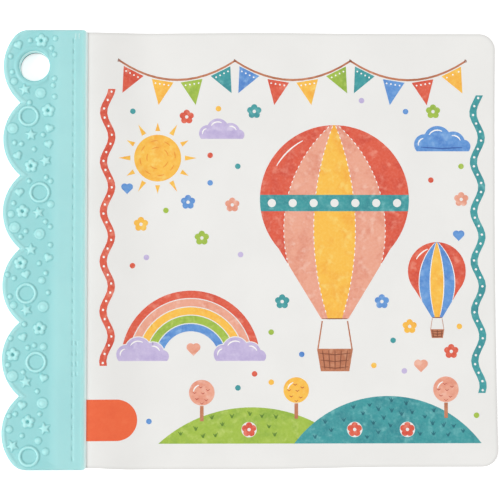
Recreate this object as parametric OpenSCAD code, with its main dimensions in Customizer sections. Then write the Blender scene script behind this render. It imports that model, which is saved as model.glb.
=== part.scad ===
// Soft baby book: limp sheets sewn into a scalloped silicone teething spine.
// It lies on its back cover. X runs from the spine to the fore-edge, Y from the tail to the head, Z is up.

/* [Spine] */
// Length of the spine, tail to head
spine_len = 158.4; // [130:0.1:190]
// Width of the spine, from the tips of the scallops to the edge of its flaps
spine_w = 31; // [28:0.5:38]
// Thickness of each flap that the sheets are sewn between
flap_t = 1.95; // [1.6:0.05:2.6]
// Rounding of the spine's outer edges
rim_r = 1.25; // [0.6:0.05:1.5]
// Rounding of the two corners beside the sheets, seen from above
flap_corner_r = 1.8; // [1:0.1:4]
// Width of the smooth strip along the sheets
strip_w = 10.7; // [9.5:0.1:13]

/* [Scallops] */
// Number of scallops along the spine
lobe_count = 6; // [5:1:7]
// Depth of a scallop, from its tip to the notch beside it
scallop_depth = 6.2; // [4:0.1:8]
// Rounding of the first and last scallop where they turn into the spine's ends
end_corner_r = 6; // [3:0.5:8]

/* [Ring hole] */
// Radius of the hole for a clip or ring
ring_hole_r = 5.45; // [4:0.05:6.2]
// Distance of the hole's centre from the scallop's tip
ring_hole_inset = 11.2; // [10:0.1:13]
// Rounding of the hole's two mouths
mouth_r = 0.6; // [0.3:0.05:0.9]
// Width of the flat collar around the hole, outside its rounded mouth
collar_w = 0.9; // [0.5:0.1:1.5]

/* [Teething relief] */
// Depth of the sunken field that carries the relief
field_sink = 0.3; // [0.2:0.05:0.5]
// Width of the plain border between the field and the scalloped edge
field_border = 1.5; // [1:0.1:2.5]
// Height of the raised motifs above the field
relief_h = 0.7; // [0.4:0.05:0.9]
// Radius of a dot
dot_r = 0.78; // [0.5:0.02:1]
// Radius of a small button
button_r = 1.2; // [0.9:0.05:1.5]
// Radius of a large button
disc_r = 1.9; // [1.5:0.05:2.2]
// Outer radius of a ring
ring_r = 3.7; // [3:0.1:4]
// Width of a ring's band
ring_band = 0.95; // [0.6:0.05:1.4]
// Radius of a daisy
daisy_r = 2.4; // [1.8:0.05:2.7]
// Width of a heart
heart_w = 3.2; // [2.4:0.1:3.6]
// Radius of a star
star_r = 2.15; // [1.6:0.05:2.4]

/* [Sheets] */
// How far the sheets reach out of the spine
sheet_reach = 147; // [120:1:180]
// How far the spine stands past the sheets at head and tail
sheet_setback = 0.7; // [0.5:0.1:4]
// Radius of the sheets' two outer corners
sheet_corner_r = 6; // [3:0.5:12]
// Thickness of a cover
cover_t = 0.35; // [0.3:0.05:0.6]
// Thickness of a leaf
leaf_t = 0.3; // [0.2:0.05:0.5]
// Number of leaves between the covers
leaf_count = 5; // [3:1:8]
// Air between neighbouring sheets
leaf_gap = 0.1; // [0.06:0.01:0.2]
// Depth to which the leaves' edges stand apart
edge_depth = 3; // [1:0.5:5]
// Length over which the sheets sink from the spine to the table
droop_run = 24; // [18:1:40]
// Clearance between a cover and the round nose of its flap
hinge_clear = 0.15; // [0.1:0.01:0.3]

/* [Sewing] */
// Depth of the sewn margin inside the spine
sewn_depth = 9.2; // [8:0.1:11]
// Distance of the seam from the flaps' edge
stitch_inset = 5.6; // [4.5:0.1:6.5]
// Distance from one needle hole to the next
stitch_pitch = 3.75; // [3:0.05:5]
// Distance of the seam's ends from the sheets' head and tail
seam_end = 2.5; // [1.5:0.1:5]
// Radius of the thread where it lies on the silicone
thread_r = 0.3; // [0.24:0.02:0.36]
// Radius of the thread where it passes through
shank_r = 0.22; // [0.16:0.01:0.24]
// Clearance of the thread in its holes and groove
thread_clear = 0.08; // [0.05:0.01:0.12]
// Radius of the dimple around each needle hole
dimple_r = 0.5; // [0.44:0.02:0.6]
// Depth of that dimple
dimple_depth = 0.95; // [0.85:0.05:1.3]

/* [Cover print] */
// Thickness of the printed colour
print_t = 0.08; // [0.05:0.01:0.12]
// Plain margin around the print
print_margin = 3.5; // [2:0.5:8]
// Height of the plain orange tab beside the spine
tab_h = 14.8; // [10:0.2:20]
// Length of the orange tab
tab_len = 17.3; // [12:0.1:24]
// Distance of the tab's middle from the tail edge of the cover
tab_rise = 17; // [14:0.5:40]
// Radius of the large balloon
balloon_r = 27; // [20:0.5:30]
// Place of the large balloon's middle, across from the cover's middle
balloon_x = 15; // [0:1:24]
// Place of the large balloon's middle, up from the cover's middle
balloon_y = 18; // [8:1:24]
// Radius of the small balloon
small_balloon_r = 10.5; // [8:0.5:13]
// Outer radius of the rainbow
rainbow_r = 25; // [20:0.5:28]
// Width of one rainbow band
rainbow_band = 3; // [2:0.1:4]
// Radius of the sun
sun_r = 8.5; // [6:0.5:11]
// Width of a pennant of the bunting
pennant_w = 8; // [6:0.5:10]
// Length of a pennant
pennant_len = 9; // [6:0.5:12]
// Width of the wavy ribbons at both sides
ribbon_w = 2.6; // [1.6:0.1:3.6]
// Radius of a printed blossom
blossom_r = 2.6; // [1.8:0.1:3.4]
// Radius of a printed dot
spot_r = 1; // [0.6:0.1:1.6]

/* [Hidden] */
$fn = 48;
eps = 0.01;

silicone_colour = [0.67, 0.88, 0.88];
sheet_colour = [0.93, 0.93, 0.92];
thread_colour = [0.78, 0.93, 0.93];

// Levels of the stack inside the spine
block_t = leaf_count * leaf_t + (leaf_count - 1) * leaf_gap;
slot_h = block_t + 2 * (cover_t + leaf_gap + hinge_clear);
spine_t = slot_h + 2 * flap_t;
back_z = flap_t + hinge_clear;
block_z = back_z + cover_t + leaf_gap;
front_z = block_z + block_t + leaf_gap;
cover_top_z = front_z + cover_t;

// Places across the book
left_x = -(spine_w + sheet_reach) / 2;
flap_x = left_x + spine_w;
fore_x = flap_x + sheet_reach;
hinge_x = flap_x - flap_t / 2;
slot_x = flap_x - sewn_depth;
strip_x = flap_x - strip_w;
stitch_x = flap_x - stitch_inset;
sheet_len = spine_len - 2 * sheet_setback;

// The sheets leave the spine at half its height and sink until the back cover lies on the table
droop = back_z;
droop_steps = 14;
function sink(x) = droop * (1 - cos(180 * min(1, max(0, (x - hinge_x) / droop_run)))) / 2;
droop_xs = [for (i = [0:droop_steps]) hinge_x + droop_run * i / droop_steps];

// Scallops are arcs of one radius whose centres lie on one line
lobe_pitch = spine_len / lobe_count;
lobe_r = (pow(scallop_depth, 2) + pow(lobe_pitch / 2, 2)) / (2 * scallop_depth);
lobe_x = left_x + lobe_r;
root_x = min(lobe_x, strip_x, slot_x - 1);
end_lobe_y = (spine_len - lobe_pitch) / 2;
function lobe_y(i) = end_lobe_y - i * lobe_pitch;

// The end scallops run into a smaller arc that touches the spine's end
end_arc_y = spine_len / 2 - end_corner_r;
end_arc_x = lobe_x - sqrt(pow(lobe_r - end_corner_r, 2) - pow(lobe_pitch / 2 - end_corner_r, 2));
end_turn = atan2(end_arc_y - end_lobe_y, end_arc_x - lobe_x);
end_turn_y = end_lobe_y + lobe_r * sin(end_turn);
// The end arc lies a hair inside the scallop that it continues
end_ease = 0.05;

ring_hole_x = left_x + ring_hole_inset;
ring_hole_y = end_lobe_y;
field_z = spine_t - field_sink;

// Needle holes
seam_half = sheet_len / 2 - seam_end;
stitch_count = floor(2 * seam_half / stitch_pitch);
seam_start = -stitch_count * stitch_pitch / 2;
groove_r = thread_r + thread_clear;
groove_depth = 2 * thread_r + thread_clear;

// Extrudes a section drawn in X and Z along Y
module along_y(length) {
    rotate([90, 0, 0])
        linear_extrude(height = length, center = true)
            children();
}

// Extrudes a section drawn in Y and Z along X, from one x to another
module along_x(from_x, to_x) {
    translate([from_x, 0, 0])
        rotate([90, 0, 90])
            linear_extrude(height = to_x - from_x)
                children();
}

// Rounded bar section of the given half width, as thick as the spine
module rounded_section(half_w) {
    difference() {
        translate([-half_w, 0])
            square([2 * half_w, spine_t]);
        for (side = [-1, 1], level = [0, 1])
            translate([side * half_w, level * spine_t])
                difference() {
                    square(2 * rim_r, center = true);
                    translate([-side * rim_r, (1 - 2 * level) * rim_r])
                        circle(r = rim_r);
                }
    }
}

// Round button of silicone with a rounded rim, as thick as the spine
module rounded_disc(r) {
    rotate_extrude($fn = 128)
        intersection() {
            rounded_section(r);
            square([r + 1, spine_t]);
        }
}

// All scallops, cut where the last ones turn into their end arcs
module scallops() {
    intersection() {
        union()
            for (i = [0:lobe_count - 1])
                translate([lobe_x, lobe_y(i), 0])
                    rounded_disc(lobe_r);
        translate([left_x - 1, -end_turn_y, -1])
            cube([root_x - left_x + 1, 2 * end_turn_y, spine_t + 2]);
    }
    for (side = [-1, 1])
        translate([end_arc_x, side * end_arc_y, 0])
            rounded_disc(end_corner_r - end_ease);
}

// Section of the spine's two flaps, with the slot between them and a round nose on each
module flap_section() {
    difference() {
        translate([end_arc_x, 0])
            square([hinge_x - end_arc_x, spine_t]);
        translate([slot_x, flap_t])
            square([sewn_depth, slot_h]);
    }
    for (z = [flap_t / 2, spine_t - flap_t / 2])
        translate([hinge_x, z])
            circle(d = flap_t);
}

// Plan of the flaps, with their two outer corners rounded
module flap_plan() {
    difference() {
        translate([end_arc_x, -spine_len / 2])
            square([flap_x - end_arc_x, spine_len]);
        for (side = [-1, 1])
            translate([flap_x, side * spine_len / 2])
                difference() {
                    square(2 * flap_corner_r, center = true);
                    translate([-flap_corner_r, -side * flap_corner_r])
                        circle(r = flap_corner_r);
                }
    }
}

module spine_blank() {
    intersection() {
        along_y(spine_len)
            flap_section();
        along_x(end_arc_x, flap_x)
            rounded_section(spine_len / 2);
        linear_extrude(height = spine_t)
            flap_plan();
    }
    scallops();
}

// Plan of the sunken field, which follows the scallops at the border's width
module field_plan() {
    difference() {
        intersection() {
            union() {
                for (i = [0:lobe_count - 1])
                    translate([lobe_x, lobe_y(i)])
                        circle(r = lobe_r - field_border, $fn = 128);
                if (strip_x > lobe_x)
                    translate([lobe_x, field_border - spine_len / 2])
                        square([strip_x - lobe_x, spine_len - 2 * field_border]);
            }
            translate([left_x, field_border - spine_len / 2])
                square([strip_x - left_x, spine_len - 2 * field_border]);
        }
        translate([ring_hole_x, ring_hole_y])
            circle(r = ring_hole_r + mouth_r + collar_w);
    }
}

// Cutter for the ring hole, flared to a rounded mouth at both faces
module ring_hole_cutter() {
    translate([ring_hole_x, ring_hole_y, 0]) {
        translate([0, 0, -1])
            cylinder(h = spine_t + 2, r = ring_hole_r);
        rotate_extrude()
            difference() {
                square([ring_hole_r + mouth_r, spine_t]);
                translate([ring_hole_r, mouth_r])
                    square([mouth_r + 1, spine_t - 2 * mouth_r]);
                for (z = [mouth_r, spine_t - mouth_r])
                    translate([ring_hole_r + mouth_r, z])
                        circle(r = mouth_r);
            }
    }
}

// Motifs of the relief stand on the field at the origin
module dot() {
    cylinder(h = relief_h * 0.8, r = dot_r, $fn = 24);
}

module button(r) {
    cylinder(h = relief_h * 0.7, r = r, $fn = 32);
    cylinder(h = relief_h, r = r * 0.55, $fn = 24);
}

module ring() {
    difference() {
        cylinder(h = relief_h, r = ring_r);
        translate([0, 0, -1])
            cylinder(h = relief_h + 2, r = ring_r - ring_band);
    }
}

module daisy_petals() {
    petal_r = daisy_r * 0.42;
    for (i = [0:4])
        rotate(18 + 72 * i)
            translate([daisy_r - petal_r, 0])
                circle(r = petal_r, $fn = 32);
    circle(r = daisy_r * 0.5, $fn = 32);
}

module daisy() {
    difference() {
        linear_extrude(height = relief_h)
            daisy_petals();
        translate([0, 0, relief_h * 0.4])
            cylinder(h = relief_h, r = daisy_r * 0.26, $fn = 24);
    }
}

function star_points(r, inner) = [for (i = [0:9]) (i % 2 == 0 ? r : inner) * [sin(36 * i), cos(36 * i)]];

module star(turn) {
    rotate(turn)
        linear_extrude(height = relief_h)
            polygon(star_points(star_r, star_r * 0.48));
}

// Heart of the given width, its tip down and its middle at the origin
module heart_plan(w) {
    side = w / (1 + sqrt(0.5));
    translate([0, -side * 0.15]) {
        rotate(45)
            square(side, center = true);
        for (s = [-1, 1])
            translate([s * side * sqrt(2) / 4, side * sqrt(2) / 4])
                circle(r = side * 0.498, $fn = 32);
    }
}

module heart(turn) {
    rotate(turn)
        linear_extrude(height = relief_h)
            heart_plan(heart_w);
}

// Each scallop carries its own scatter of motifs. A row is kind, x, y and, where it matters, a turn
// in degrees. It is drawn on a scallop of this pitch beside a field of this width, from the centre of
// that scallop's arc, which lies this far left of the smooth strip.
drawn_pitch = 80 / 3;
drawn_field_w = 20.3;
drawn_centre = 2.863;
scatter = [
    [
        ["heart", -12, 7.5, 25], ["dot", -7.8, 9.2], ["daisy", -3.7, 9.2], ["dot", 1.2, 10],
        ["dot", -0.2, 6.4], ["dot", 0.9, 4.1], ["dot", -14.8, 3.4], ["dot", -14.2, -2.3],
        ["small", -13.5, -5.7], ["dot", 1, -4.7], ["dot", 0.5, -7.2], ["star", -9.6, -8.7, 10],
        ["large", -4, -10], ["dot", 1.1, -11.3]
    ],
    [
        ["dot", -7.9, 13.2], ["ring", -8.2, 8.2], ["daisy", -1.2, 10.3], ["large", -13.9, 3.7],
        ["heart", -0.8, 3.7, -20], ["dot", -3, 1.4], ["star", -7.3, 1.4, 0], ["dot", -13.2, -1.5],
        ["dot", -10.7, -1.9], ["heart", -1, -2.1, 15], ["dot", -6.2, -3.9], ["heart", -12, -6.2, 30],
        ["star", -2, -8, 20], ["daisy", -7.2, -9.9]
    ],
    [
        ["dot", -1.8, 12.5], ["dot", -0.2, 11.2], ["dot", -7.9, 11.2], ["ring", -4.1, 7],
        ["heart", -11.4, 7.1, 0], ["dot", -13.4, 3.1], ["small", -0.2, 2.8], ["daisy", -10.2, 0.2],
        ["small", -14.3, -0.8], ["star", -4.5, -0.2, 12], ["dot", -2, -3.6], ["dot", -0.3, -5.4],
        ["large", -13, -5.7], ["dot", -9, -7], ["large", -4.1, -8], ["dot", -10.8, -9],
        ["dot", -0.2, -12]
    ],
    [
        ["star", -7.1, 13, 0], ["heart", -1, 10, -25], ["daisy", -10.8, 8.1], ["dot", -4.2, 8],
        ["dot", -15.4, 3.9], ["heart", -8.9, 3.9, 15], ["dot", -1.8, 4.5], ["dot", -13.1, 2.6],
        ["small", -3.2, 1.9], ["ring", -8.7, -2.9], ["dot", -0.9, -2.6], ["dot", -14.5, -4],
        ["small", -13.2, -7.1], ["large", -2.7, -7.7], ["star", -8.7, -8.9, 24]
    ],
    [
        ["dot", -9.3, 12.6], ["daisy", -3.9, 11.1], ["dot", -14.2, 7.6], ["heart", -9.9, 7.9, 20],
        ["dot", -8.1, 4.2], ["dot", -5.8, 5], ["small", -2.5, 4.5], ["daisy", -13.3, 1.7],
        ["ring", -5.1, -1], ["dot", -15.1, -2], ["dot", -9.7, -4.6], ["large", -13.5, -6],
        ["heart", -2.4, -6.8, -15], ["star", -8.7, -8.1, 8], ["dot", -4.6, -11.5]
    ],
    [
        ["large", -2.8, 10.9], ["heart", -10, 10.1, -10], ["dot", -12.4, 7], ["dot", -14.6, 6.3],
        ["dot", -3.7, 7], ["daisy", -7.9, 4.2], ["small", -14.5, 1.5], ["star", -1.9, 1.8, 15],
        ["dot", -10, -0.8], ["small", -4.2, -2.6], ["star", -13.3, -4.4, 30], ["ring", -7.5, -8.2],
        ["small", -1.6, -6.5]
    ]
];

module motif(row) {
    kind = row[0];
    across = (strip_x - left_x) / drawn_field_w;
    along = lobe_pitch / drawn_pitch;
    translate([(row[1] - drawn_centre) * across, row[2] * along, 0])
        if (kind == "dot") dot();
        else if (kind == "small") button(button_r);
        else if (kind == "large") button(disc_r);
        else if (kind == "ring") ring();
        else if (kind == "daisy") daisy();
        else if (kind == "star") star(row[3]);
        else heart(row[3]);
}

module relief() {
    for (i = [0:lobe_count - 1])
        translate([strip_x, lobe_y(i), field_z - eps])
            for (row = scatter[i % len(scatter)])
                motif(row);
}

// Places its children at every needle hole
module at_needle_holes() {
    for (i = [0:stitch_count])
        translate([stitch_x, seam_start + i * stitch_pitch, 0])
            children();
}

module needle_holes() {
    at_needle_holes()
        translate([0, 0, -1])
            cylinder(h = spine_t + 2, r = shank_r + thread_clear, $fn = 16);
}

// Groove on each face that takes the thread flush, with a dimple at each hole
module seam_cutter() {
    for (z = [0, spine_t])
        translate([stitch_x, 0, z])
            cube([2 * groove_r, 2 * seam_half + 2 * dimple_r, 2 * groove_depth], center = true);
    at_needle_holes()
        for (z = [-1, spine_t - dimple_depth])
            translate([0, 0, z])
                cylinder(h = dimple_depth + 1, r = dimple_r, $fn = 20);
}

module teether_spine() {
    color(silicone_colour) {
        difference() {
            spine_blank();
            translate([0, 0, field_z])
                linear_extrude(height = field_sink + 1)
                    field_plan();
            ring_hole_cutter();
            seam_cutter();
            needle_holes();
        }
        relief();
    }
}

// Section of one sheet that follows the droop, between two levels of the stack
module sheet_section(from_x, low_z, high_z) {
    xs = concat(from_x < hinge_x ? [from_x] : [], droop_xs, [fore_x]);
    polygon(concat(
        [for (x = xs) [x, low_z - sink(x)]],
        [for (i = [len(xs) - 1:-1:0]) [xs[i], high_z - sink(xs[i])]]
    ));
}

// Plan of the sheets, pulled in from their free edges by the given amount
module sheet_plan(from_x, inset = 0) {
    r = max(sheet_corner_r - inset, eps);
    half = sheet_len / 2 - inset;
    edge_x = fore_x - inset;
    difference() {
        translate([from_x, -half])
            square([edge_x - from_x, 2 * half]);
        for (side = [-1, 1])
            translate([edge_x, side * half])
                difference() {
                    square(2 * r, center = true);
                    translate([-r, -side * r])
                        circle(r = r, $fn = 64);
                }
    }
}

module sheet(from_x, low_z, high_z) {
    intersection() {
        along_y(sheet_len)
            sheet_section(from_x, low_z, high_z);
        translate([0, 0, -1])
            linear_extrude(height = spine_t + 2)
                sheet_plan(from_x);
    }
}

// Leaves bound in one block: their edges stand apart, and the sewn margin fills the slot
module page_block() {
    color(sheet_colour)
        difference() {
            union() {
                sheet(slot_x, block_z, block_z + block_t);
                translate([slot_x, -sheet_len / 2, flap_t])
                    cube([hinge_x - hinge_clear - slot_x, sheet_len, slot_h]);
            }
            for (i = [1:leaf_count - 1])
                leaf_edge_gap(block_z + i * (leaf_t + leaf_gap) - leaf_gap);
            needle_holes();
        }
}

module leaf_edge_gap(z) {
    difference() {
        along_y(sheet_len + 2)
            sheet_section(hinge_x, z, z + leaf_gap);
        translate([0, 0, -1])
            linear_extrude(height = spine_t + 2)
                sheet_plan(hinge_x - 1, edge_depth);
    }
}

module front_cover() {
    color(sheet_colour)
        sheet(hinge_x, front_z, cover_top_z);
}

module back_cover() {
    color(sheet_colour)
        sheet(hinge_x, back_z, back_z + cover_t);
}

// One thread: stitches on both faces joined by the runs that pass through the needle holes
module sewing_thread() {
    run_r = thread_r * 0.66;
    stitch_sink = thread_r + 0.02;
    run_sink = thread_r * 1.2;
    color(thread_colour) {
        for (side = [0, 1]) {
            face_z = side * spine_t;
            inward = 1 - 2 * side;
            translate([stitch_x, 0, face_z + inward * run_sink])
                along_y(stitch_count * stitch_pitch)
                    circle(r = run_r, $fn = 20);
            for (i = [0:stitch_count - 1])
                translate([stitch_x, seam_start + (i + 0.5) * stitch_pitch, face_z + inward * stitch_sink])
                    along_y(stitch_pitch - 2 * dimple_r)
                        circle(r = thread_r, $fn = 20);
        }
        at_needle_holes()
            translate([0, 0, run_sink])
                cylinder(h = spine_t - 2 * run_sink, r = shank_r, $fn = 16);
    }
}

// Printed colours are thin films on the front cover. Their plans are drawn from the cover's middle.
print_x = flap_x + sheet_reach / 2;
print_half_w = sheet_reach / 2 - print_margin;
print_half_h = sheet_len / 2 - print_margin;

// One unit of the drawing, which is laid out on a board of this half width and half height
board_half_w = 70;
board_half_h = 75;
u = min(print_half_w / board_half_w, print_half_h / board_half_h);

module film(from_x) {
    intersection() {
        along_y(sheet_len)
            sheet_section(from_x, cover_top_z, cover_top_z + print_t);
        linear_extrude(height = spine_t)
            children();
    }
}

module printed() {
    film(hinge_x)
        translate([print_x, 0])
            intersection() {
                square([2 * print_half_w, 2 * print_half_h], center = true);
                children();
            }
}

// Plain tab of colour that runs under the flap's nose
module tab_plan() {
    tab_y = tab_rise - sheet_len / 2;
    round_x = flap_x + tab_len - tab_h / 2;
    translate([round_x, tab_y])
        circle(d = tab_h);
    translate([hinge_x, tab_y - tab_h / 2])
        square([round_x - hinge_x, tab_h]);
}

// Large balloon: its envelope, and the tapering gores that meet at its crown and mouth
module envelope(r) {
    mouth_w = r * 0.18;
    shoulder = r * 0.985;
    circle(r = r, $fn = 96);
    polygon([
        [-shoulder * cos(30), -shoulder * 0.5], [shoulder * cos(30), -shoulder * 0.5],
        [mouth_w, -r * 1.6], [-mouth_w, -r * 1.6]
    ]);
}

module gore(r, half_w) {
    chord = r * 1.45;
    arc_r = (pow(half_w, 2) + pow(chord, 2)) / (2 * half_w);
    translate([0, r * 1.04 - chord])
        intersection() {
            translate([half_w - arc_r, 0])
                circle(r = arc_r, $fn = 160);
            translate([arc_r - half_w, 0])
                circle(r = arc_r, $fn = 160);
        }
}

module balloon_band() {
    translate([-balloon_r, -balloon_r * 0.16])
        square([2 * balloon_r, balloon_r * 0.22]);
}

module balloon_stripe(inner, outer) {
    translate([balloon_x, balloon_y])
        difference() {
            intersection() {
                envelope(balloon_r);
                if (outer > 0) gore(balloon_r, balloon_r * outer);
                else circle(r = 3 * balloon_r);
            }
            if (inner > 0) gore(balloon_r, balloon_r * inner);
            balloon_band();
        }
}

module basket(r) {
    top_w = r * 0.24;
    base_w = r * 0.19;
    top_y = -r * 2;
    base_y = -r * 2.3;
    polygon([[-top_w, top_y], [top_w, top_y], [base_w, base_y], [-base_w, base_y]]);
    for (s = [-1, 1])
        polygon([
            [s * r * 0.16, -r * 1.63], [s * r * 0.178, -r * 1.63],
            [s * (top_w - r * 0.004), top_y], [s * (top_w - r * 0.022), top_y]
        ]);
}

small_balloon_at = [52, -8] * u;

// Cloud of overlapping rounds on a level base, about four times its given size wide
module cloud(size, grow = 0) {
    intersection() {
        union() {
            translate([-1.25 * size, 0]) circle(r = 0.75 * size + grow);
            translate([-0.3 * size, 0.35 * size]) circle(r = size + grow);
            translate([0.85 * size, 0.1 * size]) circle(r = 0.85 * size + grow);
            translate([1.6 * size, -0.15 * size]) circle(r = 0.5 * size + grow);
        }
        translate([-3 * size, -0.5 * size - grow])
            square([6 * size, 3 * size]);
    }
}

// The rainbow stands on two clouds, beside the left ribbon
foot_cloud = 4.6 * u;
rainbow_foot = rainbow_r - 2.5 * rainbow_band;
rainbow_at = [6.3 * u + 2 * foot_cloud + rainbow_foot - print_half_w, -40 * u];
module foot_clouds(grow = 0) {
    for (s = [-1, 1])
        translate(rainbow_at + [s * rainbow_foot, 2 * u])
            cloud(foot_cloud, grow);
}

// Rainbow band by number, counted from the outside, with a gap in the print to its neighbours
print_gap = 0.35;
module rainbow(i) {
    difference() {
        translate(rainbow_at)
            intersection() {
                difference() {
                    circle(r = rainbow_r - i * rainbow_band, $fn = 96);
                    circle(r = rainbow_r - (i + 1) * rainbow_band + print_gap, $fn = 96);
                }
                translate([-rainbow_r, 2 * u])
                    square([2 * rainbow_r, rainbow_r]);
            }
        foot_clouds(print_gap);
    }
}

sun_at = [-49, 33] * u;
module sun() {
    ray_w = sun_r * 0.21;
    translate(sun_at) {
        circle(r = sun_r);
        for (i = [0:11])
            rotate(30 * i)
                translate([sun_r * 1.16, 0])
                    polygon([[0, -ray_w / 2], [sun_r * (0.5 - 0.14 * (i % 2)), 0], [0, ray_w / 2]]);
    }
}

// Two mounds along the foot of the print, each given by its middle, its arc and its rise
mound_base = 5 * u - print_half_h;
module mound(x, r, rise) {
    intersection() {
        translate([x, mound_base + rise - r]) circle(r = r, $fn = 160);
        translate([x - r, mound_base]) square([2 * r, rise]);
    }
}

module left_mound() {
    mound(-15 * u, 50 * u, 13 * u);
}

module right_mound() {
    mound(34 * u, 42 * u, 17 * u);
}

// Bunting: strings sag between pegs, and each carries pennants in turning colours
swag_count = 3;
swag_w = 2 * (print_half_w - 7 * u) / swag_count;
swag_sag = 7 * u;
bunting_y = print_half_h - 6.5 * u;
string_w = 0.8 * u;
pennants_each = 4;
function swag_y(t) = bunting_y - swag_sag * 4 * t * (1 - t);
function swag_x(i, t) = (i - swag_count / 2 + t) * swag_w;

module bunting_string(i) {
    ts = [for (k = [0:12]) k / 12];
    polygon(concat(
        [for (t = ts) [swag_x(i, t), swag_y(t) + string_w / 2]],
        [for (k = [12:-1:0]) [swag_x(i, ts[k]), swag_y(ts[k]) - string_w / 2]]
    ));
}

module pennants(colour) {
    for (i = [0:swag_count - 1], k = [0:pennants_each - 1])
        if ((i * pennants_each + k) % 5 == colour) {
            t = (k + 0.5) / pennants_each;
            translate([swag_x(i, t), swag_y(t) - 0.9 * string_w])
                rotate(atan(-swag_sag * 4 * (1 - 2 * t) / swag_w))
                    polygon([[-pennant_w / 2, 0], [pennant_w / 2, 0], [0, -pennant_len]]);
        }
}

// Wavy ribbon along one side of the cover, from its low end to its high end
ribbon_inset = 3 * u;
ribbon_wave = 1.5 * u;
function ribbon_swing(y) = ribbon_wave * sin(y * 20 / u);
module ribbon(side, low_y, high_y) {
    x = side * (print_half_w - ribbon_inset);
    steps = 56;
    ys = [for (k = [0:steps]) low_y + (high_y - low_y) * k / steps];
    polygon(concat(
        [for (y = ys) [x + ribbon_swing(y) - ribbon_w / 2, y]],
        [for (k = [steps:-1:0]) [x + ribbon_swing(ys[k]) + ribbon_w / 2, ys[k]]]
    ));
}

module blossom() {
    petal = blossom_r * 0.42;
    difference() {
        union()
            for (i = [0:4])
                rotate(72 * i + 18)
                    translate([blossom_r - petal, 0])
                        circle(r = petal * 1.04, $fn = 24);
        circle(r = blossom_r * 0.24, $fn = 20);
    }
}

// Small motifs between the large ones, listed for each colour: blossoms, hearts and spots
coral_blossoms = [[-38.5, 48], [57, -37]];
coral_spots = [[-30, 34], [-14, -45], [50, 25], [-58, -6]];
salmon_blossoms = [[-22, 16], [61, 18]];
salmon_hearts = [[46, -42]];
yellow_blossoms = [[-55, 9], [42, -28]];
yellow_spots = [[-27, 51], [60, -28], [-8, -48], [29, -42]];
green_blossoms = [[-33, 4], [51, 50]];
green_spots = [[-46, 14], [61, 30], [-8, -30], [66, -60]];
teal_blossoms = [[-14, 50], [-4, -19]];
teal_spots = [[-58, 50], [-20, -50], [36, -33], [-20, 30]];
blue_blossoms = [[-38, 17], [32, -19]];
blue_hearts = [[-60, 22], [60, 5]];
blue_spots = [[-30, 24], [3, -38], [41, 50], [-52, -62]];
lavender_spots = [[-53, -3], [25, 54], [-19, -2], [40, -44]];

module at(places) {
    for (p = places)
        translate(p * u)
            children();
}

module spots(places) {
    at(places)
        circle(r = spot_r, $fn = 20);
}

// Trees that stand on the mounds: a trunk and a round crown
trunk_w = 1.3 * u;
trunk_h = 4 * u;
trunk_root = 1.5 * u;
crown_r = 4.6 * u;
trees = [
    [-33 * u, mound_base + 9.5 * u], [u, mound_base + 10.4 * u], [55 * u, mound_base + 10.6 * u]
];
module trunks() {
    for (t = trees)
        translate(t - [trunk_w / 2, trunk_root])
            square([trunk_w, trunk_h + trunk_root]);
}

module crown(i) {
    translate(trees[i] + [0, trunk_h + crown_r + print_gap / 2])
        circle(r = crown_r);
}

module mound_blossoms() {
    for (x = [-16, 22, 41])
        translate([x * u, mound_base + 5 * u])
            children();
}

module on_mounds() {
    trunks();
    mound_blossoms()
        circle(r = blossom_r + print_gap / 2);
}

module coral_plan() {
    balloon_stripe(0.68, 0);
    rainbow(0);
    pennants(0);
    ribbon(-1, 33 * u - print_half_h, print_half_h - 17 * u);
    at(coral_blossoms) blossom();
    mound_blossoms() blossom();
    spots(coral_spots);
    translate(small_balloon_at) gore_pair(0.62, 0);
}

module gore_pair(inner, outer) {
    difference() {
        intersection() {
            envelope(small_balloon_r);
            if (outer > 0) gore(small_balloon_r, small_balloon_r * outer);
            else circle(r = 3 * small_balloon_r);
        }
        if (inner > 0) gore(small_balloon_r, small_balloon_r * inner);
    }
}

module salmon_plan() {
    balloon_stripe(0.28, 0.68);
    rainbow(1);
    at(salmon_blossoms) blossom();
    at(salmon_hearts) heart_plan(5 * u);
    translate(rainbow_at + [u, 4 * u]) heart_plan(5 * u);
    for (i = [0, 2]) crown(i);
}

module yellow_plan() {
    balloon_stripe(0, 0.28);
    rainbow(2);
    sun();
    pennants(1);
    at(yellow_blossoms) blossom();
    spots(yellow_spots);
    crown(1);
    translate(small_balloon_at) gore_pair(0, 0.24);
}

module green_plan() {
    rainbow(3);
    pennants(2);
    difference() {
        left_mound();
        right_mound();
        on_mounds();
    }
    at(green_blossoms) blossom();
    spots(green_spots);
}

module teal_plan() {
    pennants(3);
    ribbon(1, 23 * u - print_half_h, print_half_h - 19 * u);
    difference() {
        right_mound();
        on_mounds();
    }
    translate([balloon_x, balloon_y])
        difference() {
            intersection() {
                envelope(balloon_r);
                balloon_band();
            }
            for (i = [-3:3])
                translate([i * balloon_r * 0.28, -balloon_r * 0.05])
                    circle(r = balloon_r * 0.055, $fn = 24);
        }
    at(teal_blossoms) blossom();
    spots(teal_spots);
}

module blue_plan() {
    rainbow(4);
    pennants(4);
    at([[54, 38]]) cloud(5 * u);
    at(blue_blossoms) blossom();
    at(blue_hearts) heart_plan(4.2 * u);
    spots(blue_spots);
    translate(small_balloon_at) gore_pair(0.24, 0.62);
}

module lavender_plan() {
    foot_clouds();
    at([[-26, 42]]) cloud(4 * u);
    spots(lavender_spots);
}

module brown_plan() {
    translate([balloon_x, balloon_y]) basket(balloon_r);
    translate(small_balloon_at) basket(small_balloon_r);
    for (i = [0:swag_count - 1])
        bunting_string(i);
    trunks();
}

module print_tab() {
    color([0.93, 0.4, 0.2])
        film(hinge_x)
            tab_plan();
}

module print_coral() {
    color([0.87, 0.33, 0.22])
        printed() coral_plan();
}

module print_salmon() {
    color([0.93, 0.66, 0.55])
        printed() salmon_plan();
}

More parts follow.
